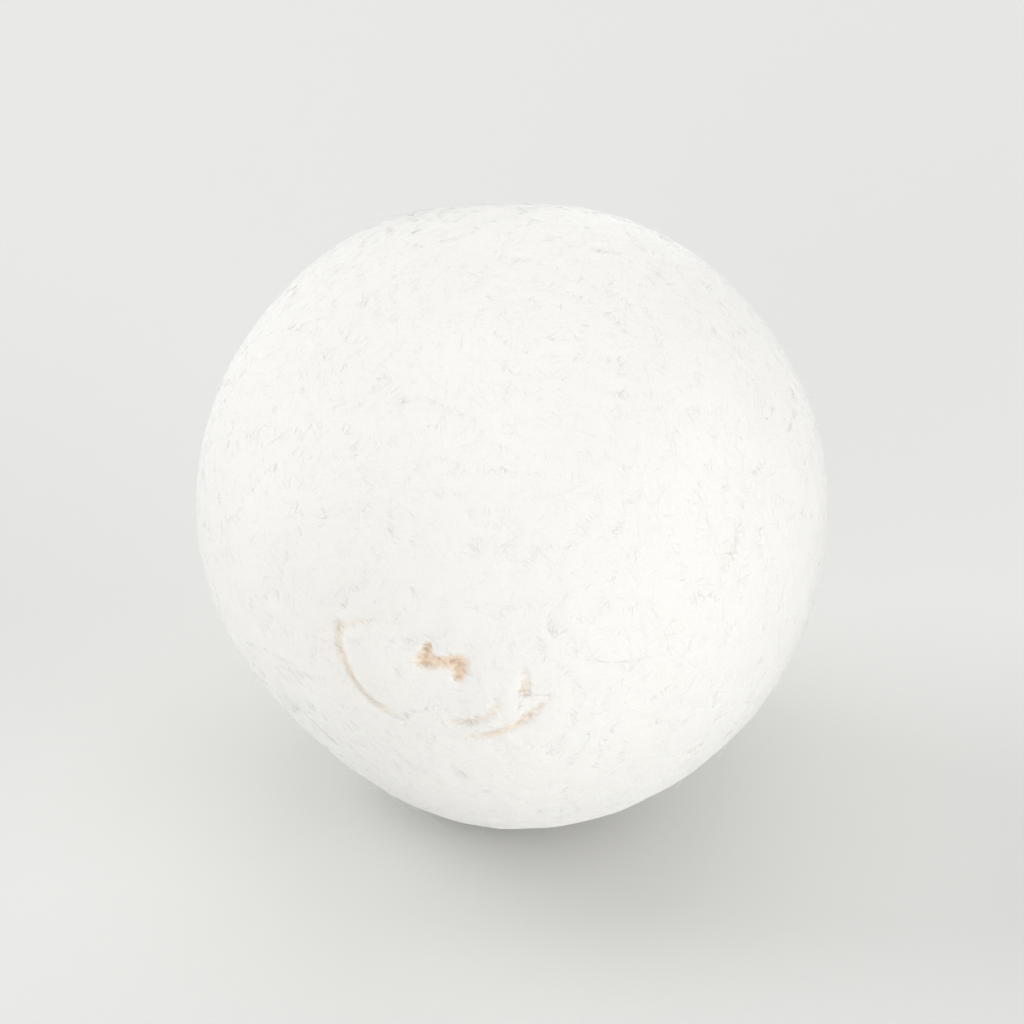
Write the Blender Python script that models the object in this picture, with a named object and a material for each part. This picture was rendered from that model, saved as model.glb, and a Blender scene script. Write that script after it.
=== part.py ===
"""Pressed cotton ball for crafts, 30 mm across, made as one solid.

Cotton fibre was wound on a thin spindle, damped and pressed round in a mould. When the spindle
came out, the fibre pinched its hole nearly shut, and the tucked-in end of the winding left a
broken crease round the mouth.

The origin is the centre of the ball, +Z is up, and the mouth of the hole faces -Y. A place on the
face round the hole is given as (x, z), its distance from the mouth along the ball's surface, and
an angle there runs anticlockwise from +X, as seen from in front.
"""

from typing import NamedTuple

import bmesh
import bpy
import numpy as np
from mathutils import Vector, noise

# Ball
BALL_DIAMETER = 0.0300
BALL_LENGTH = 0.0296
LUMP_HEIGHT = 0.00014
LUMP_SPACING = 0.0085

# Hole, pinched to a crooked slot
HOLE_DEPTH = 0.0028
HOLE_WIDTH = 0.0006
HOLE_LINE = (
    (-0.00064, 0.00104),
    (-0.00080, 0.00030),
    (0.00000, 0.00024),
    (0.00086, 0.00031),
    (0.00082, -0.00044),
)
FUNNEL_DEPTH = 0.00022
FUNNEL_WIDTH = 0.0030

# Broken crease round the hole
FOLD_WIDTH = 0.00042
DEEP_FOLD = 0.00042
SOFT_FOLD = 0.00022
FAINT_FOLD = 0.00010
LIP_HEIGHT = 0.00009
LIP_WIDTH = 0.0009

# Faces
BALL_SUBDIVISIONS = 5
REFINED_REACHES = (0.0011, 0.0006, 0.0004)
FOLD_POINTS = 14


class Fold(NamedTuple):
    """One arc of the crease, end to end: angles in degrees, distances from the mouth, depths."""

    angles: tuple
    reaches: tuple
    depths: tuple


FOLDS = (
    Fold(
        angles=(165, 243),
        reaches=(0.0052, 0.0037),
        depths=(SOFT_FOLD, DEEP_FOLD, DEEP_FOLD, SOFT_FOLD, SOFT_FOLD, 0),
    ),
    Fold(angles=(240, 264), reaches=(0.0038, 0.0046), depths=(0, FAINT_FOLD, 0)),
    Fold(angles=(283, 349), reaches=(0.0039, 0.0052), depths=(0, DEEP_FOLD, DEEP_FOLD, 0)),
    Fold(angles=(345, 368), reaches=(0.0040, 0.0039), depths=(DEEP_FOLD, 0)),
    Fold(angles=(262, 340), reaches=(0.0030, 0.0033), depths=(0, SOFT_FOLD, SOFT_FOLD, 0)),
    Fold(angles=(167, 136), reaches=(0.0051, 0.0028), depths=(SOFT_FOLD, FAINT_FOLD, 0)),
    Fold(angles=(140, 122), reaches=(0.0028, 0.0042), depths=(0, FAINT_FOLD, 0)),
)


class Pressing(NamedTuple):
    """A broad place pressed in by the mould, or standing full where its depth is negative."""

    towards: tuple
    depth: float
    spread: float


PRESSINGS = (
    Pressing(towards=(-0.61, -0.50, -0.61), depth=0.00078, spread=0.0070),
    Pressing(towards=(-0.15, 0.47, 0.87), depth=0.00036, spread=0.0036),
    Pressing(towards=(-0.57, 0.31, 0.76), depth=-0.00026, spread=0.0040),
    Pressing(towards=(0.62, 0.70, -0.35), depth=0.00040, spread=0.0060),
)


def clear_scene():
    """Remove every object of the scene."""
    for thing in list(bpy.data.objects):
        bpy.data.objects.remove(thing, do_unlink=True)


def cotton_material():
    """Bleached cotton, pressed hard: near white with a little warmth, and fully matt."""
    material = bpy.data.materials.new("pressed_cotton")
    material.use_nodes = True
    shader = material.node_tree.nodes["Principled BSDF"]
    shader.inputs["Base Color"].default_value = (0.92, 0.90, 0.86, 1)
    shader.inputs["Roughness"].default_value = 0.95
    shader.inputs["Metallic"].default_value = 0
    return material


def place_round_hole(directions):
    """The (x, z) place of each direction from the ball's centre, laid out round the mouth."""
    angles = np.arccos(np.clip(-directions[:, 1], -1, 1))
    across = np.hypot(directions[:, 0], directions[:, 2])
    stretch = angles * BALL_DIAMETER / 2 / np.maximum(across, 1e-9)
    return directions[:, [0, 2]] * stretch[:, None]


def fold_line(fold):
    """Points along the arc of a fold."""
    angles = np.radians(np.linspace(*fold.angles, FOLD_POINTS))
    reaches = np.linspace(*fold.reaches, FOLD_POINTS)
    return np.stack([reaches * np.cos(angles), reaches * np.sin(angles)], axis=1)


def nearest_on_line(places, line):
    """Distance from each place to a line, how far along it the nearest point is, and that point."""
    distance = np.full(len(places), np.inf)
    along = np.zeros(len(places))
    nearest = np.zeros_like(places)
    for step, (start, end) in enumerate(zip(line[:-1], line[1:])):
        run = end - start
        share = np.clip((places - start) @ run / (run @ run), 0, 1)
        foot = start + share[:, None] * run
        gap = np.linalg.norm(places - foot, axis=1)
        closer = gap < distance
        distance[closer] = gap[closer]
        along[closer] = (step + share[closer]) / (len(line) - 1)
        nearest[closer] = foot[closer]
    return distance, along, nearest


def hole_cut(places):
    """Depth of the hole's steep slot and of the shallow funnel that leads to it."""
    distance = nearest_on_line(places, np.array(HOLE_LINE))[0]
    slot = HOLE_DEPTH * np.exp(-((2 * distance / HOLE_WIDTH) ** 4))
    funnel = FUNNEL_DEPTH * np.exp(-((2 * distance / FUNNEL_WIDTH) ** 2))
    return slot + funnel


def fold_cut(places, fold):
    """Depth of a fold's groove, less the edge that stands up on its side towards the mouth."""
    distance, along, nearest = nearest_on_line(places, fold_line(fold))
    depth = np.interp(along, np.linspace(0, 1, len(fold.depths)), fold.depths)
    groove = depth * np.exp(-((2 * distance / FOLD_WIDTH) ** 2))
    inside = np.linalg.norm(places, axis=1) < np.linalg.norm(nearest, axis=1)
    edge = distance / LIP_WIDTH * np.exp(1 - distance / LIP_WIDTH)
    return groove - inside * LIP_HEIGHT * depth / DEEP_FOLD * edge


def pressing_cut(directions, pressing):
    """Depth of a broad pressed place."""
    towards = np.array(Vector(pressing.towards).normalized())
    reach = np.arccos(np.clip(directions @ towards, -1, 1)) * BALL_DIAMETER / 2
    return pressing.depth * np.exp(-((reach / pressing.spread) ** 2))


def lump(direction):
    """Height of the ball's slow, uneven swell in one direction."""
    place = Vector(direction) * BALL_DIAMETER / 2 / LUMP_SPACING
    return LUMP_HEIGHT * noise.noise(place)


def surface_radius(directions):
    """Distance of the finished surface from the ball's centre, in each direction."""
    squares = directions**2
    across = (squares[:, 0] + squares[:, 2]) / (BALL_DIAMETER / 2) ** 2
    along = squares[:, 1] / (BALL_LENGTH / 2) ** 2
    radius = 1 / np.sqrt(across + along)
    radius += np.array([lump(direction) for direction in directions])
    for pressing in PRESSINGS:
        radius -= pressing_cut(directions, pressing)
    places = place_round_hole(directions)
    for fold in FOLDS:
        radius -= fold_cut(places, fold)
    return radius - hole_cut(places)


def vertex_directions(bm):
    """Unit direction of each vertex from the ball's centre."""
    points = np.array([vertex.co[:] for vertex in bm.verts])
    return points / np.linalg.norm(points, axis=1)[:, None]


def quarter_faces(bm, reach):
    """Quarter the faces that lie within reach of the hole or a fold."""
    places = place_round_hole(vertex_directions(bm))
    distance = nearest_on_line(places, np.array(HOLE_LINE))[0]
    for fold in FOLDS:
        distance = np.minimum(distance, nearest_on_line(places, fold_line(fold))[0])
    near = distance < reach
    bm.verts.index_update()
    edges = [edge for edge in bm.edges if any(near[vertex.index] for vertex in edge.verts)]
    bmesh.ops.subdivide_edges(bm, edges=edges, cuts=1, use_grid_fill=True)
    bmesh.ops.triangulate(bm, faces=bm.faces[:])


def ball_mesh():
    """The ball: a sphere with finer faces round the hole, pressed to its real surface."""
    bm = bmesh.new()
    bmesh.ops.create_icosphere(bm, subdivisions=BALL_SUBDIVISIONS, radius=BALL_DIAMETER / 2)
    for reach in REFINED_REACHES:
        quarter_faces(bm, reach)
    directions = vertex_directions(bm)
    for vertex, point in zip(bm.verts, directions * surface_radius(directions)[:, None]):
        vertex.co = point
    bmesh.ops.recalc_face_normals(bm, faces=bm.faces[:])
    mesh = bpy.data.meshes.new("cotton_ball")
    bm.to_mesh(mesh)
    bm.free()
    mesh.shade_smooth()
    return mesh


def main():
    """Build the ball in a collection of its own."""
    clear_scene()
    ball = bpy.data.objects.new("cotton_ball", ball_mesh())
    ball.data.materials.append(cotton_material())
    collection = bpy.data.collections.new("cotton_ball")
    bpy.context.scene.collection.children.link(collection)
    collection.objects.link(ball)


main()
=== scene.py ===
"""Looks of the pressed cotton ball: its felted surface and its fibres, in a plain pale studio.

The ball is a finer copy of the solid's own forms, with the small dimples, slits and sheet edges of
wound and pressed cotton on them. Fibres that the damp pressing matted down lie on it, a few frayed
ones lie in the hole and the creases, and a few stray hairs stand off it.

Lengths are in metres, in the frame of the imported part: the origin is the ball's centre, +Z is up,
and the mouth of its hole faces -Y. A place on the face round the hole is given as (x, z), its
distance from the mouth along the ball's surface, and an angle there runs anticlockwise from +X, as
seen from in front. A shift moves one noise away from the others, so that no two look alike.
"""

import math
from typing import NamedTuple

import bmesh
import bpy
import numpy as np
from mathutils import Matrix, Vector, noise


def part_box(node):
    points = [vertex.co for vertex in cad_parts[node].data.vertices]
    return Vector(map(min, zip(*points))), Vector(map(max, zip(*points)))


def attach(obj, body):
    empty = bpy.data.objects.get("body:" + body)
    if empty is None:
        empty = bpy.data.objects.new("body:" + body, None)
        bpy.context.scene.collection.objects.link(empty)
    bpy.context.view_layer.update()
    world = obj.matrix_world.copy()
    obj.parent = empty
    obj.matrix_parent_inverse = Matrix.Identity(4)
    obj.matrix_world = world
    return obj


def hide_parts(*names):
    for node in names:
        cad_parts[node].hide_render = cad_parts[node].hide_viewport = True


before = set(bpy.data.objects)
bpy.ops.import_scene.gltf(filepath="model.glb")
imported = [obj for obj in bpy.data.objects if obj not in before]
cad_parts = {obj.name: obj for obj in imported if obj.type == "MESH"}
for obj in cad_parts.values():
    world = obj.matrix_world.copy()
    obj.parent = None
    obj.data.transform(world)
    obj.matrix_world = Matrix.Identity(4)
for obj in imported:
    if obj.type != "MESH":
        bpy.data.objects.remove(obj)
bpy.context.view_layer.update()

# Ball, with the sizes of the solid
BALL_DIAMETER = 0.0300
BALL_LENGTH = 0.0296
LUMP_HEIGHT = 0.00014
LUMP_SPACING = 0.0085

# Hole, pinched to a crooked slot, which loose fibre fills to just below its mouth
HOLE_WIDTHS = (0.00038, 0.00088, 0.00058, 0.00096, 0.00050)
HOLE_LINE = (
    (-0.00064, 0.00104),
    (-0.00080, 0.00030),
    (0.00000, 0.00024),
    (0.00086, 0.00031),
    (0.00082, -0.00044),
)
FILL_DEPTH = 0.00012
FILL_UNEVENNESS = 0.00007
FILL_SPACING = 0.0005
FILL_SHIFT = 2.2
CRACK_DEPTH = 0.00010
CRACK_WIDTH = 0.00026
CRACK_SPACING = 0.0007
CRACK_SHIFT = 6.6
CRACK_OPEN = 0.6
CRACK_CHANGE = 1.4
CRACK_MOST_OPEN = 1.2
FUNNEL_DEPTH = 0.00022
FUNNEL_WIDTH = 0.0030

# Broken crease round the hole, which loose fibre fills but for the seen share of its depth
FOLD_WIDTH = 0.00056
DEEP_FOLD = 0.00042
SOFT_FOLD = 0.00022
FAINT_FOLD = 0.00010
SEEN_SHARE = 0.28
LIP_HEIGHT = 0.00009
LIP_WIDTH = 0.0009
FOLD_POINTS = 14
WOBBLE = 0.00009
WOBBLE_SPACING = 0.0009
WOBBLE_SHIFTS = (4.4, 9.2)

# Small relief of the pressed fibre
FELT_HEIGHT = 0.00003
FELT_SPACING = 0.0011
FELT_SHIFT = 1.3
FINE_FELT_SPACING = FELT_SPACING / 2.3
FINE_FELT_SHIFT = 5.9
FINE_FELT_SHARE = 0.5
DIMPLE_COUNT = 90
DIMPLE_WIDTHS = (0.0007, 0.0021)
DIMPLE_DEPTHS = (0.00003, 0.00009)
SLIT_COUNT = 26
SLIT_LENGTHS = (0.0008, 0.0024)
SLIT_DEPTHS = (0.00003, 0.00008)
SLIT_WIDTH = 0.00034
SLIT_BENDS = (-0.25, 0.25)
SLIT_LIP_SHARE = 0.5
SLIT_LIP_PLACE = 2.0
RELIEF_SEED = 12

# Thin sheets of fibre that the ball was wrapped in, with torn edges that end at a crevice
SHEET_EDGE_HEIGHT = 0.00004
SHEET_EDGE_SHARE = 0.12
SHEET_SPACING = 0.0060
SHEET_SHIFT = 3.1
SHEET_LAYERS = 3.0
SHEET_FADE = 4
TEAR_SPACING = SHEET_SPACING / 5
TEAR_SHIFT = 7.7
TEAR_SHARE = 0.10

# How much painted warm shade a crevice takes, where 0 is the white of the surface and 1 the full
# shade of the hole
FOLD_SHADE = 0.60
SLIT_SHADE = 0.10

# Faces of the ball
BALL_SUBDIVISIONS = 5
FACE_CUTS = 4
REFINED_REACHES = (0.0009, 0.0005)

# Single fibres, as thick as the 0.015 to 0.02 mm of real cotton; a stretch is a share of length
FIBRE_THICKNESS = 0.000018
FIBRE_STRETCHES = (0.45, 1.4)
FIBRE_WAVE = 0.0014
FIBRE_WAVE_DETAIL = 1.0
FIBRE_WAVE_RANGE = 50.0
FIBRE_END_CURL = 2.0
FIBRE_POINTS = 7
FIBRE_SIDES = 3
NOISE_MIDDLE = (0.5, 0.5, 0.5)

# Colours, as sRGB hex; the ball's patches go from the greyer to the brighter white
BALL_WHITES = ("F3F2ED", "FAF9F6")
# The fibres are painted a brighter white than the ball, as painted light that offsets the shade at
# their sides
FIBRE_LIT_WHITE = "FEFDFB"
# Painted warm shade for down in the hole and the creases, where light bounces about in the fibre
CREVICE_SHADE_TAN = "FDE9D2"
TABLE_WHITE = "E7E7E5"

# Patches where the fibre lies thicker, and the felt's grain of tufts about ten fibres wide
PATCH_SIZE = 0.006
PATCH_DETAIL = 3.0
GRAIN_SIZE = 0.0002
GRAIN_DETAIL = 4.0
GRAIN_HEIGHT = 0.00004

# Camera
CAMERA_AZIMUTH = 12.8
CAMERA_ELEVATION = 29.7
CAMERA_DISTANCE = 0.270
CAMERA_LENS = 200
CAMERA_CLIP = 0.01

# Table top, and the even light from everywhere
TABLE_WIDTH = 3.0
WORLD_LIGHT = 0.52


class Fold(NamedTuple):
    """One arc of the crease, end to end: angles in degrees, distances from the mouth, depths."""

    angles: tuple
    reaches: tuple
    depths: tuple


FOLDS = (
    Fold(
        angles=(165, 243),
        reaches=(0.0052, 0.0037),
        depths=(SOFT_FOLD, DEEP_FOLD, DEEP_FOLD, SOFT_FOLD, SOFT_FOLD, 0),
    ),
    Fold(angles=(240, 264), reaches=(0.0038, 0.0046), depths=(0, FAINT_FOLD, 0)),
    Fold(angles=(283, 349), reaches=(0.0039, 0.0052), depths=(0, DEEP_FOLD, DEEP_FOLD, 0)),
    Fold(angles=(345, 368), reaches=(0.0040, 0.0039), depths=(DEEP_FOLD, 0)),
    Fold(angles=(262, 340), reaches=(0.0030, 0.0033), depths=(0, SOFT_FOLD, SOFT_FOLD, 0)),
    Fold(angles=(167, 136), reaches=(0.0051, 0.0028), depths=(SOFT_FOLD, FAINT_FOLD, 0)),
    Fold(angles=(140, 122), reaches=(0.0028, 0.0042), depths=(0, FAINT_FOLD, 0)),
)


class Slit(NamedTuple):
    """A short slit: where its middle is and which way it runs, its sizes, and how much it bends."""

    middle: tuple
    ahead: tuple
    length: float
    width: float
    depth: float
    bend: float


# Those that show in the photograph: a crescent at the right, and two marks and two streaks above
SEEN_SLITS = (
    Slit(
        middle=(0.81, -0.52, 0.25), ahead=(-0.20, -0.65, -0.73),
        length=0.0032, width=0.00060, depth=0.00006, bend=-0.25,
    ),
    Slit(
        middle=(-0.21, -0.64, 0.74), ahead=(0.67, -0.65, -0.37),
        length=0.0018, width=0.00060, depth=0.00002, bend=0.10,
    ),
    Slit(
        middle=(0.41, -0.42, 0.81), ahead=(0.89, 0.02, -0.45),
        length=0.0025, width=0.00080, depth=0.00004, bend=0.15,
    ),
    Slit(
        middle=(-0.01, -0.85, 0.53), ahead=(0.99, 0.05, 0.10),
        length=0.0015, width=0.00040, depth=0.00003, bend=0.00,
    ),
    Slit(
        middle=(-0.31, -0.63, 0.71), ahead=(0.63, 0.42, 0.65),
        length=0.0020, width=0.00045, depth=0.00003, bend=0.10,
    ),
)


class Pressing(NamedTuple):
    """A broad place pressed in by the mould, or standing full where its depth is negative."""

    towards: tuple
    depth: float
    spread: float


PRESSINGS = (
    Pressing(towards=(-0.61, -0.50, -0.61), depth=0.00078, spread=0.0070),
    Pressing(towards=(-0.15, 0.47, 0.87), depth=0.00036, spread=0.0036),
    Pressing(towards=(-0.57, 0.31, 0.76), depth=-0.00026, spread=0.0040),
    Pressing(towards=(0.62, 0.70, -0.35), depth=0.00040, spread=0.0060),
)


class Fibres(NamedTuple):
    """A lot of fibres: where they grow and how many a square metre, their form, and a seed.

    The arch is the most that a fibre rises off the ball, the sink is taken off that again, and the
    free end is how much higher its one end stands.
    """

    where: str
    density: float
    length: float
    waviness: float
    arch: float
    sink: float
    free_end: float
    seed: int


# Matted fibres sink to their middles in the felt, and rise out of it only here and there
MATTED = Fibres(
    where="cover", density=1.6e6, length=0.0030, waviness=0.0009,
    arch=0.00003, sink=0.000018, free_end=0.0, seed=3,
)

FIBRES = {
    "matted_fibres": MATTED,
    "fine_fibres": MATTED._replace(length=0.0018, waviness=0.0006, seed=8),
    "long_fibres": MATTED._replace(length=0.0040, waviness=0.0012, seed=14),
    "short_fibres": MATTED._replace(length=0.0022, waviness=0.0007, seed=31),
    "frayed_fibres": Fibres(
        where="crevice", density=2.0e7, length=0.0009, waviness=0.0005,
        arch=0.00020, sink=0.00006, free_end=0.00004, seed=5,
    ),
    "stray_hairs": Fibres(
        where="cover", density=4.0e4, length=0.0022, waviness=0.0010,
        arch=0.00008, sink=0.00004, free_end=0.0004, seed=21,
    ),
}

# Named inputs of the fibre tree, with their kinds
FIBRE_INPUTS = {
    "Ball": "NodeSocketGeometry",
    "Where": "NodeSocketString",
    "Density": "NodeSocketFloat",
    "Length": "NodeSocketFloat",
    "Thickness": "NodeSocketFloat",
    "Waviness": "NodeSocketFloat",
    "Arch": "NodeSocketFloat",
    "Sink": "NodeSocketFloat",
    "Free end": "NodeSocketFloat",
    "Seed": "NodeSocketInt",
    "Material": "NodeSocketMaterial",
}


class Softbox(NamedTuple):
    """A large square light turned to the ball, with its power in watts."""

    place: tuple
    width: float
    power: float


SOFTBOXES = {
    "softbox_left": Softbox(place=(-0.60, 0.05, 0.42), width=0.5, power=1.8),
    "softbox_right": Softbox(place=(0.62, -0.20, 0.06), width=0.5, power=2.55),
    "softbox_top": Softbox(place=(0.00, 0.15, 0.75), width=0.6, power=1.1),
    "softbox_back": Softbox(place=(-0.10, 0.65, 0.15), width=0.5, power=1.0),
    "softbox_front": Softbox(place=(-0.12, -0.74, 0.03), width=0.5, power=2.05),
}


def place_round_hole(directions):
    """The (x, z) place of each direction from the ball's centre, laid out round the mouth."""
    angles = np.arccos(np.clip(-directions[:, 1], -1, 1))
    across = np.hypot(directions[:, 0], directions[:, 2])
    stretch = angles * BALL_DIAMETER / 2 / np.maximum(across, 1e-9)
    return directions[:, [0, 2]] * stretch[:, None]


def fold_line(fold):
    """Points along the arc of a fold."""
    angles = np.radians(np.linspace(*fold.angles, FOLD_POINTS))
    reaches = np.linspace(*fold.reaches, FOLD_POINTS)
    return np.stack([reaches * np.cos(angles), reaches * np.sin(angles)], axis=1)


def nearest_on_line(places, line):
    """Distance from each place to a line, how far along it the nearest point is, and that point."""
    distance = np.full(len(places), np.inf)
    along = np.zeros(len(places))
    nearest = np.zeros_like(places)
    for step, (start, end) in enumerate(zip(line[:-1], line[1:])):
        run = end - start
        share = np.clip((places - start) @ run / (run @ run), 0, 1)
        foot = start + share[:, None] * run
        gap = np.linalg.norm(places - foot, axis=1)
        closer = gap < distance
        distance[closer] = gap[closer]
        along[closer] = (step + share[closer]) / (len(line) - 1)
        nearest[closer] = foot[closer]
    return distance, along, nearest


def noise_at(directions, spacing, shift=0.0):
    """Smooth noise of one value for each direction, with swells about a spacing apart."""
    scale = BALL_DIAMETER / 2 / spacing
    move = Vector((shift, -shift, 2 * shift))
    return np.array([noise.noise(Vector(direction) * scale + move) for direction in directions])


def wobbled(places, directions):
    """Places shifted a little here and there, which makes drawn lines as uneven as torn fibre."""
    shifts = [noise_at(directions, WOBBLE_SPACING, shift) for shift in WOBBLE_SHIFTS]
    return places + WOBBLE * np.stack(shifts, axis=1)


def hole_cut(places, directions):
    """Depth of the funnel, the slot down to its fill and the crack in that, and how much painted
    warm shade it takes.
    """
    distance, along, _ = nearest_on_line(places, np.array(HOLE_LINE))
    width = np.interp(along, np.linspace(0, 1, len(HOLE_WIDTHS)), HOLE_WIDTHS)
    inside = np.exp(-((2 * distance / width) ** 4))
    fill = FILL_DEPTH + FILL_UNEVENNESS * noise_at(directions, FILL_SPACING, FILL_SHIFT)
    change = CRACK_CHANGE * noise_at(directions, CRACK_SPACING, CRACK_SHIFT)
    open_share = np.clip(CRACK_OPEN + change, 0, CRACK_MOST_OPEN)
    crack = CRACK_DEPTH * open_share * np.exp(-((2 * distance / CRACK_WIDTH) ** 2))
    funnel = FUNNEL_DEPTH * np.exp(-((2 * distance / FUNNEL_WIDTH) ** 2))
    return fill * inside + crack + funnel, inside


def fold_cut(places, fold):
    """Depth of a fold's groove, less the edge raised towards the mouth, and how much painted warm
    shade it takes.
    """
    distance, along, nearest = nearest_on_line(places, fold_line(fold))
    depth = np.interp(along, np.linspace(0, 1, len(fold.depths)), fold.depths)
    across = np.exp(-((2 * distance / FOLD_WIDTH) ** 2))
    inside = np.linalg.norm(places, axis=1) < np.linalg.norm(nearest, axis=1)
    edge = distance / LIP_WIDTH * np.exp(1 - distance / LIP_WIDTH)
    lip = inside * LIP_HEIGHT * depth / DEEP_FOLD * edge
    return SEEN_SHARE * depth * across - lip, FOLD_SHADE * depth / DEEP_FOLD * across**2


def pressing_cut(directions, pressing):
    """Depth of a broad pressed place."""
    towards = np.array(Vector(pressing.towards).normalized())
    reach = np.arccos(np.clip(directions @ towards, -1, 1)) * BALL_DIAMETER / 2
    return pressing.depth * np.exp(-((reach / pressing.spread) ** 2))


def random_directions(count, draw):
    """Directions spread at random over the whole ball."""
    points = draw.normal(size=(count, 3))
    return points / np.linalg.norm(points, axis=1)[:, None]


def dimple_cut(directions, draw):
    """Depth of the shallow dimples that grains and knots of fibre left."""
    depth = np.zeros(len(directions))
    for middle in random_directions(DIMPLE_COUNT, draw):
        width = draw.uniform(*DIMPLE_WIDTHS)
        deep = draw.uniform(*DIMPLE_DEPTHS)
        reach = np.linalg.norm(directions - middle, axis=1) * BALL_DIAMETER / 2
        depth += deep * np.exp(-((2 * reach / width) ** 2))
    return depth


def random_slits(draw):
    """Short slits all over the ball, where ends of fibre were tucked in."""
    slits = []
    for middle in random_directions(SLIT_COUNT, draw):
        ahead = np.cross(middle, draw.normal(size=3))
        length = draw.uniform(*SLIT_LENGTHS)
        bend = draw.uniform(*SLIT_BENDS)
        depth = draw.uniform(*SLIT_DEPTHS)
        slits.append(Slit(middle, ahead, length, SLIT_WIDTH, depth, bend))
    return slits


def slit_cut(directions, slit):
    """Depth of a slit, less the side of it that stands up a little."""
    middle = np.array(slit.middle) / np.linalg.norm(slit.middle)
    side = np.cross(middle, slit.ahead)
    side /= np.linalg.norm(side)
    run = directions @ np.cross(side, middle) * BALL_DIAMETER / 2
    offset = directions @ side * BALL_DIAMETER / 2 - slit.bend * run**2 / slit.length
    fade = (directions @ middle > 0) * np.exp(-((2 * run / slit.length) ** 4))
    across = 2 * offset / slit.width
    groove = np.exp(-(across**2))
    lip = SLIT_LIP_SHARE * np.exp(-((across - SLIT_LIP_PLACE) ** 2))
    return slit.depth * fade * (groove - lip)


def sheet_edges(directions):
    """Height of the thin sheets of fibre that the ball was wrapped in, with their torn edges."""
    field = noise_at(directions, SHEET_SPACING, SHEET_SHIFT)
    ragged = TEAR_SHARE * noise_at(directions, TEAR_SPACING, TEAR_SHIFT)
    layers = (field + ragged) * SHEET_LAYERS
    part = layers - np.floor(layers)
    rise = np.clip(part / SHEET_EDGE_SHARE, 0, 1)
    return SHEET_EDGE_HEIGHT * (rise * rise * (3 - 2 * rise) - part)


def felt(directions):
    """Height of the felt's fine, uneven grain."""
    coarse = noise_at(directions, FELT_SPACING, FELT_SHIFT)
    fine = noise_at(directions, FINE_FELT_SPACING, FINE_FELT_SHIFT)
    return FELT_HEIGHT * (coarse + FINE_FELT_SHARE * fine)


def surface(directions):
    """Distance of the surface from the centre in each direction, and how much painted warm shade it
    takes there.
    """
    draw = np.random.default_rng(RELIEF_SEED)
    squares = directions**2
    across = (squares[:, 0] + squares[:, 2]) / (BALL_DIAMETER / 2) ** 2
    along = squares[:, 1] / (BALL_LENGTH / 2) ** 2
    radius = 1 / np.sqrt(across + along)
    radius += LUMP_HEIGHT * noise_at(directions, LUMP_SPACING)
    for pressing in PRESSINGS:
        radius -= pressing_cut(directions, pressing)
    places = wobbled(place_round_hole(directions), directions)
    cut, crevice = hole_cut(places, directions)
    radius -= cut
    # The hole, the folds and the slits take more painted warm shade the deeper they are
    for fold in FOLDS:
        cut, warm_shade = fold_cut(places, fold)
        radius -= cut
        crevice = np.maximum(crevice, warm_shade)
    for slit in (*SEEN_SLITS, *random_slits(draw)):
        cut = slit_cut(directions, slit)
        radius -= cut
        crevice = np.maximum(crevice, SLIT_SHADE * cut / SLIT_DEPTHS[1])
    radius -= dimple_cut(directions, draw)
    radius += felt(directions)
    radius += sheet_edges(directions) * (1 - np.clip(SHEET_FADE * crevice, 0, 1))
    return radius, crevice


def vertex_directions(bm):
    """Unit direction of each vertex from the ball's centre."""
    points = np.array([vertex.co[:] for vertex in bm.verts])
    return points / np.linalg.norm(points, axis=1)[:, None]


def quarter_faces(bm, reach):
    """Quarter the faces that lie within reach of the hole or a fold."""
    places = place_round_hole(vertex_directions(bm))
    distance = nearest_on_line(places, np.array(HOLE_LINE))[0]
    for fold in FOLDS:
        distance = np.minimum(distance, nearest_on_line(places, fold_line(fold))[0])
    near = distance < reach
    bm.verts.index_update()
    edges = [edge for edge in bm.edges if any(near[vertex.index] for vertex in edge.verts)]
    bmesh.ops.subdivide_edges(bm, edges=edges, cuts=1, use_grid_fill=True)
    bmesh.ops.triangulate(bm, faces=bm.faces[:])


def store_values(mesh, name, values):
    """Keep a value for each vertex, under a name that materials and fibres read."""
    mesh.attributes.new(name, "FLOAT", "POINT").data.foreach_set("value", values.astype(np.float32))


def add_piece(name, mesh):
    """Put a mesh in the scene as an object at the origin."""
    piece = bpy.data.objects.new(name, mesh)
    bpy.context.scene.collection.objects.link(piece)
    return piece


def make_ball():
    """The ball, with the painted warm shade of each vertex, and a cover of 1 where matted fibres
    lie.
    """
    bm = bmesh.new()
    bmesh.ops.create_icosphere(bm, subdivisions=BALL_SUBDIVISIONS, radius=BALL_DIAMETER / 2)
    bmesh.ops.subdivide_edges(bm, edges=bm.edges[:], cuts=FACE_CUTS, use_grid_fill=True)
    bmesh.ops.triangulate(bm, faces=bm.faces[:])
    for reach in REFINED_REACHES:
        quarter_faces(bm, reach)
    directions = vertex_directions(bm)
    radius, crevice = surface(directions)
    for vertex, point in zip(bm.verts, directions * radius[:, None]):
        vertex.co = point
    bmesh.ops.recalc_face_normals(bm, faces=bm.faces[:])
    mesh = bpy.data.meshes.new("pressed_ball")
    bm.to_mesh(mesh)
    bm.free()
    mesh.shade_smooth()
    store_values(mesh, "crevice", crevice)
    store_values(mesh, "cover", np.ones(len(crevice)))
    return add_piece("pressed_ball", mesh)


def add_node(tree, kind, inputs=None, **settings):
    """Add a node with its settings, and give its inputs values or links from other nodes."""
    node = tree.nodes.new(kind)
    for name, value in settings.items():
        setattr(node, name, value)
    for name, value in (inputs or {}).items():
        if isinstance(value, bpy.types.NodeSocket):
            tree.links.new(value, node.inputs[name])
        else:
            node.inputs[name].default_value = value
    return node


def linear(colour):
    """An sRGB hex colour such as F7F5F0 as linear red, green, blue and alpha."""
    values = []
    for start in (0, 2, 4):
        part = int(colour[start:start + 2], 16) / 255
        values.append(part / 12.92 if part <= 0.04045 else ((part + 0.055) / 1.055) ** 2.4)
    return (*values, 1)


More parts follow.
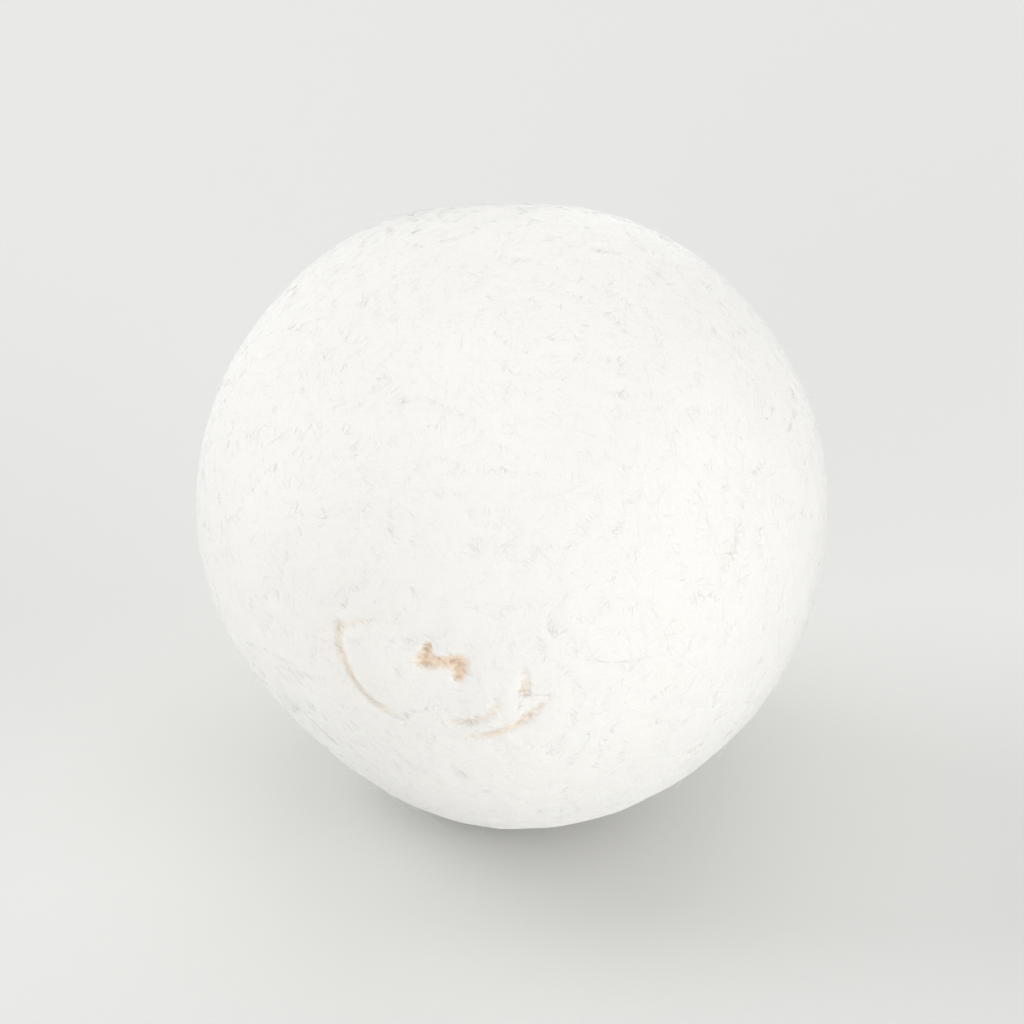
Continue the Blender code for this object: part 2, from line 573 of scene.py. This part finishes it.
def colour_cotton_and_shade(tree, shader, white):
    """Give cotton its white, and a painted warm shade where it is down in the hole or a crease."""
    crevice = add_node(tree, "ShaderNodeAttribute", attribute_name="crevice")
    colour = add_node(
        tree, "ShaderNodeMix",
        {"Factor": crevice.outputs["Fac"], "A": white, "B": linear(CREVICE_SHADE_TAN)},
        data_type="RGBA",
    )
    tree.links.new(colour.outputs["Result"], shader.inputs["Base Color"])


def pressed_cotton():
    """Bleached cotton, wound and pressed damp: matt and near white, with a soft bright rim.

    The sheen is the fuzz that catches light at the rim, the patches are a shade more or less
    white, and the grain keeps it matt. Down in the hole and the creases light meets the slightly
    warm fibre again and again, which makes it tan; that warm tint is painted in as shade.
    """
    material = bpy.data.materials.new("pressed_cotton")
    material.use_nodes = True
    tree = material.node_tree
    shader = tree.nodes["Principled BSDF"]
    shader.inputs["Roughness"].default_value = 0.95
    shader.inputs["IOR"].default_value = 1.53
    shader.inputs["Specular IOR Level"].default_value = 0.25
    shader.inputs["Sheen Weight"].default_value = 0.8
    shader.inputs["Sheen Roughness"].default_value = 0.4
    place = add_node(tree, "ShaderNodeTexCoord").outputs["Object"]
    patches = add_node(
        tree, "ShaderNodeTexNoise",
        {"Vector": place, "Scale": 1 / PATCH_SIZE, "Detail": PATCH_DETAIL},
    )
    grain = add_node(
        tree, "ShaderNodeTexNoise",
        {"Vector": place, "Scale": 1 / GRAIN_SIZE, "Detail": GRAIN_DETAIL},
    )
    greyer, brighter = (linear(white) for white in BALL_WHITES)
    white = add_node(
        tree, "ShaderNodeMix",
        {"Factor": patches.outputs["Fac"], "A": greyer, "B": brighter},
        data_type="RGBA",
    )
    colour_cotton_and_shade(tree, shader, white.outputs["Result"])
    bump = add_node(
        tree, "ShaderNodeBump",
        {"Strength": 0.8, "Distance": GRAIN_HEIGHT, "Height": grain.outputs["Fac"]},
    )
    tree.links.new(bump.outputs["Normal"], shader.inputs["Normal"])
    return material


def loose_cotton():
    """Single bleached cotton fibres: thin ribbons of cellulose, white with a faint gloss."""
    material = bpy.data.materials.new("loose_cotton")
    material.use_nodes = True
    shader = material.node_tree.nodes["Principled BSDF"]
    # The fibres' white is painted brighter than the ball's, as painted light, and in the hole and
    # the creases they take the ball's painted warm shade
    colour_cotton_and_shade(material.node_tree, shader, linear(FIBRE_LIT_WHITE))
    shader.inputs["Roughness"].default_value = 0.7
    shader.inputs["IOR"].default_value = 1.53
    shader.inputs["Specular IOR Level"].default_value = 0.3
    shader.inputs["Sheen Weight"].default_value = 0.8
    shader.inputs["Sheen Roughness"].default_value = 0.5
    return material


def straight_strand(tree, given):
    """One straight strand along X, with its middle at its root."""
    half = add_node(tree, "ShaderNodeMath", {0: given["Length"], 1: 0.5}, operation="MULTIPLY")
    back = add_node(tree, "ShaderNodeMath", {0: half.outputs[0], 1: -1.0}, operation="MULTIPLY")
    start = add_node(tree, "ShaderNodeCombineXYZ", {"X": back.outputs[0]})
    end = add_node(tree, "ShaderNodeCombineXYZ", {"X": half.outputs[0]})
    line = add_node(
        tree, "GeometryNodeCurvePrimitiveLine", {"Start": start.outputs[0], "End": end.outputs[0]}
    )
    strand = add_node(
        tree, "GeometryNodeResampleCurve", {"Curve": line.outputs[0], "Count": FIBRE_POINTS}
    )
    return strand.outputs[0]


def lie_of_strands(tree, given, upright):
    """How each strand lies: flat on the ball, and turned round its root at random."""
    angle = add_node(
        tree, "FunctionNodeRandomValue", {"Min": 0.0, "Max": math.tau, "Seed": given["Seed"]},
        data_type="FLOAT",
    )
    turn = add_node(
        tree, "FunctionNodeAxisAngleToRotation",
        {"Axis": (0, 0, 1), "Angle": angle.outputs["Value"]},
    )
    lie = add_node(
        tree, "FunctionNodeRotateRotation",
        {"Rotation": upright, "Rotate By": turn.outputs[0]},
        rotation_space="LOCAL",
    )
    return lie.outputs[0]


def scatter_strands(tree, given):
    """Straight strands of many lengths, scattered over the ball, each with a wave of its own."""
    where = add_node(
        tree, "GeometryNodeInputNamedAttribute", {"Name": given["Where"]}, data_type="FLOAT"
    )
    share = add_node(
        tree, "ShaderNodeMath",
        {0: where.outputs["Attribute"], 1: given["Density"]},
        operation="MULTIPLY",
    )
    roots = add_node(
        tree, "GeometryNodeDistributePointsOnFaces",
        {"Mesh": given["Ball"], "Density": share.outputs[0], "Seed": given["Seed"]},
    )
    shortest, longest = FIBRE_STRETCHES
    stretch = add_node(
        tree, "FunctionNodeRandomValue",
        {"Min": shortest, "Max": longest, "Seed": given["Seed"]},
        data_type="FLOAT",
    )
    strands = add_node(
        tree, "GeometryNodeInstanceOnPoints",
        {
            "Points": roots.outputs["Points"],
            "Instance": straight_strand(tree, given),
            "Rotation": lie_of_strands(tree, given, roots.outputs["Rotation"]),
            "Scale": stretch.outputs["Value"],
        },
    )
    own = add_node(
        tree, "FunctionNodeRandomValue",
        {"Min": 0.0, "Max": FIBRE_WAVE_RANGE, "Seed": given["Seed"]},
        data_type="FLOAT",
    )
    marked = add_node(
        tree, "GeometryNodeStoreNamedAttribute",
        {"Geometry": strands.outputs[0], "Name": "own_wave", "Value": own.outputs["Value"]},
        data_type="FLOAT", domain="INSTANCE",
    )
    real = add_node(tree, "GeometryNodeRealizeInstances", {"Geometry": marked.outputs[0]})
    return real.outputs[0]


def wave_strands(tree, given):
    """Where each point of a strand goes when the strand waves its own way, and the wave's noise."""
    own = add_node(tree, "GeometryNodeInputNamedAttribute", {"Name": "own_wave"}, data_type="FLOAT")
    place = add_node(tree, "GeometryNodeInputPosition")
    swirl = add_node(
        tree, "ShaderNodeTexNoise",
        {
            "Vector": place.outputs[0],
            "W": own.outputs["Attribute"],
            "Scale": 1 / FIBRE_WAVE,
            "Detail": FIBRE_WAVE_DETAIL,
        },
        noise_dimensions="4D",
    )
    centred = add_node(
        tree, "ShaderNodeVectorMath", {0: swirl.outputs["Color"], 1: NOISE_MIDDLE},
        operation="SUBTRACT",
    )
    wave = add_node(
        tree, "ShaderNodeVectorMath", {0: centred.outputs[0], "Scale": given["Waviness"]},
        operation="SCALE",
    )
    waved = add_node(
        tree, "ShaderNodeVectorMath", {0: place.outputs[0], 1: wave.outputs[0]}, operation="ADD"
    )
    return waved.outputs[0], swirl.outputs["Fac"]


def height_of_strands(tree, given, swirl):
    """How high each point of a strand is over the ball, below zero where it sinks into it."""
    along = add_node(tree, "GeometryNodeSplineParameter").outputs["Factor"]
    arch = add_node(tree, "ShaderNodeMath", {0: swirl, 1: given["Arch"]}, operation="MULTIPLY")
    sunk = add_node(
        tree, "ShaderNodeMath", {0: arch.outputs[0], 1: given["Sink"]}, operation="SUBTRACT"
    )
    curl = add_node(tree, "ShaderNodeMath", {0: along, 1: FIBRE_END_CURL}, operation="POWER")
    height = add_node(
        tree, "ShaderNodeMath", {0: curl.outputs[0], 1: given["Free end"], 2: sunk.outputs[0]},
        operation="MULTIPLY_ADD",
    )
    return height.outputs[0]


def shade_strands(tree, given, strands):
    """Give each strand the painted warm shade of the ball under it."""
    warm_shade = add_node(tree, "GeometryNodeInputNamedAttribute", {"Name": "crevice"}, data_type="FLOAT")
    below = add_node(
        tree, "GeometryNodeSampleNearestSurface",
        {"Mesh": given["Ball"], "Value": warm_shade.outputs["Attribute"]},
        data_type="FLOAT",
    )
    shaded = add_node(
        tree, "GeometryNodeStoreNamedAttribute",
        {"Geometry": strands, "Name": "crevice", "Value": below.outputs["Value"]},
        data_type="FLOAT", domain="POINT",
    )
    return shaded.outputs[0]


def lay_strands(tree, given, strands):
    """Wave the strands, draw them down on the ball, and let them rise, sink or end free."""
    waved, swirl = wave_strands(tree, given)
    skin = add_node(
        tree, "GeometryNodeProximity",
        {"Geometry": given["Ball"], "Sample Position": waved},
        target_element="FACES",
    )
    facing = add_node(tree, "GeometryNodeInputNormal")
    outward = add_node(
        tree, "GeometryNodeSampleNearestSurface",
        {"Mesh": given["Ball"], "Value": facing.outputs[0], "Sample Position": waved},
        data_type="FLOAT_VECTOR",
    )
    lift = add_node(
        tree, "ShaderNodeVectorMath",
        {0: outward.outputs["Value"], "Scale": height_of_strands(tree, given, swirl)},
        operation="SCALE",
    )
    landed = add_node(
        tree, "ShaderNodeVectorMath", {0: skin.outputs["Position"], 1: lift.outputs[0]},
        operation="ADD",
    )
    laid = add_node(
        tree, "GeometryNodeSetPosition", {"Geometry": strands, "Position": landed.outputs[0]}
    )
    return shade_strands(tree, given, laid.outputs[0])


def fibre_tree():
    """Geometry nodes for fibres on the ball: scattered strands, laid on it and given a body."""
    tree = bpy.data.node_groups.new("cotton_fibres", "GeometryNodeTree")
    for name, kind in FIBRE_INPUTS.items():
        tree.interface.new_socket(name, in_out="INPUT", socket_type=kind)
    tree.interface.new_socket("Fibres", in_out="OUTPUT", socket_type="NodeSocketGeometry")
    given = add_node(tree, "NodeGroupInput").outputs
    strands = lay_strands(tree, given, scatter_strands(tree, given))
    radius = add_node(tree, "ShaderNodeMath", {0: given["Thickness"], 1: 0.5}, operation="MULTIPLY")
    outline = add_node(
        tree, "GeometryNodeCurvePrimitiveCircle",
        {"Resolution": FIBRE_SIDES, "Radius": radius.outputs[0]},
    )
    body = add_node(
        tree, "GeometryNodeCurveToMesh",
        {"Curve": strands, "Profile Curve": outline.outputs["Curve"], "Fill Caps": True},
    )
    plain = add_node(tree, "GeometryNodeRealizeInstances", {"Geometry": body.outputs[0]})
    painted = add_node(
        tree, "GeometryNodeSetMaterial",
        {"Geometry": plain.outputs[0], "Material": given["Material"]},
    )
    add_node(tree, "NodeGroupOutput", {"Fibres": painted.outputs[0]})
    return tree


def make_fibres(ball, tree, name, fibres, material):
    """One lot of fibres on the ball, as a plain mesh of its own."""
    values = {
        "Where": fibres.where,
        "Density": fibres.density,
        "Length": fibres.length,
        "Thickness": FIBRE_THICKNESS,
        "Waviness": fibres.waviness,
        "Arch": fibres.arch,
        "Sink": fibres.sink,
        "Free end": fibres.free_end,
        "Seed": fibres.seed,
        "Material": material,
    }
    modifier = ball.modifiers.new(name, "NODES")
    modifier.node_group = tree
    for item in tree.interface.items_tree:
        if item.name in values:
            modifier[item.identifier] = values[item.name]
    evaluated = ball.evaluated_get(bpy.context.evaluated_depsgraph_get())
    mesh = bpy.data.meshes.new_from_object(evaluated)
    ball.modifiers.remove(modifier)
    mesh.name = name
    mesh.shade_smooth()
    return add_piece(name, mesh)


def aim(thing, place):
    """Put a camera or light at a place and turn it to the ball."""
    thing.location = place
    thing.rotation_euler = Vector(place).to_track_quat("Z", "Y").to_euler()


def add_camera():
    """A long lens from the photograph's side, so the hole shows at the lower left."""
    camera = bpy.data.objects.new("camera", bpy.data.cameras.new("camera"))
    bpy.context.scene.collection.objects.link(camera)
    camera.data.lens = CAMERA_LENS
    camera.data.clip_start = CAMERA_CLIP
    turn = math.radians(CAMERA_AZIMUTH)
    rise = math.radians(CAMERA_ELEVATION)
    towards = (math.sin(turn) * math.cos(rise), -math.cos(turn) * math.cos(rise), math.sin(rise))
    aim(camera, Vector(towards) * CAMERA_DISTANCE)
    bpy.context.scene.camera = camera


def add_softbox(name, softbox):
    """Hang one softbox in its place."""
    light = bpy.data.objects.new(name, bpy.data.lights.new(name, "AREA"))
    bpy.context.scene.collection.objects.link(light)
    light.data.shape = "SQUARE"
    light.data.size = softbox.width
    light.data.energy = softbox.power
    aim(light, softbox.place)


def light_studio():
    """Bright light from everywhere, and softboxes on all sides that even it out over the ball."""
    scene = bpy.context.scene
    scene.view_settings.view_transform = "Standard"
    world = bpy.data.worlds.new("studio")
    world.use_nodes = True
    scene.world = world
    background = world.node_tree.nodes["Background"]
    background.inputs["Color"].default_value = (1, 1, 1, 1)
    background.inputs["Strength"].default_value = WORLD_LIGHT
    for name, softbox in SOFTBOXES.items():
        add_softbox(name, softbox)


def white_laminate():
    """Matt white laminate of a table top: pale and even, with hardly any gloss."""
    material = bpy.data.materials.new("white_laminate")
    material.use_nodes = True
    shader = material.node_tree.nodes["Principled BSDF"]
    shader.inputs["Roughness"].default_value = 0.9
    shader.inputs["Specular IOR Level"].default_value = 0.1
    shader.inputs["Base Color"].default_value = linear(TABLE_WHITE)
    return material


def add_floor():
    """A plain pale table top under the ball."""
    bm = bmesh.new()
    bmesh.ops.create_grid(bm, x_segments=1, y_segments=1, size=TABLE_WIDTH / 2)
    bmesh.ops.translate(bm, verts=bm.verts, vec=(0, 0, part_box("cotton_ball")[0].z))
    mesh = bpy.data.meshes.new("table_top")
    bm.to_mesh(mesh)
    bm.free()
    mesh.materials.append(white_laminate())
    add_piece("table_top", mesh)


def main():
    """Dress the ball, put it on a table, and set up the camera and the light."""
    ball = make_ball()
    ball.data.materials.append(pressed_cotton())
    tree = fibre_tree()
    material = loose_cotton()
    pieces = [make_fibres(ball, tree, name, fibres, material) for name, fibres in FIBRES.items()]
    for piece in (ball, *pieces):
        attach(piece, "root")
    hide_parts("cotton_ball")
    add_floor()
    add_camera()
    light_studio()


main()
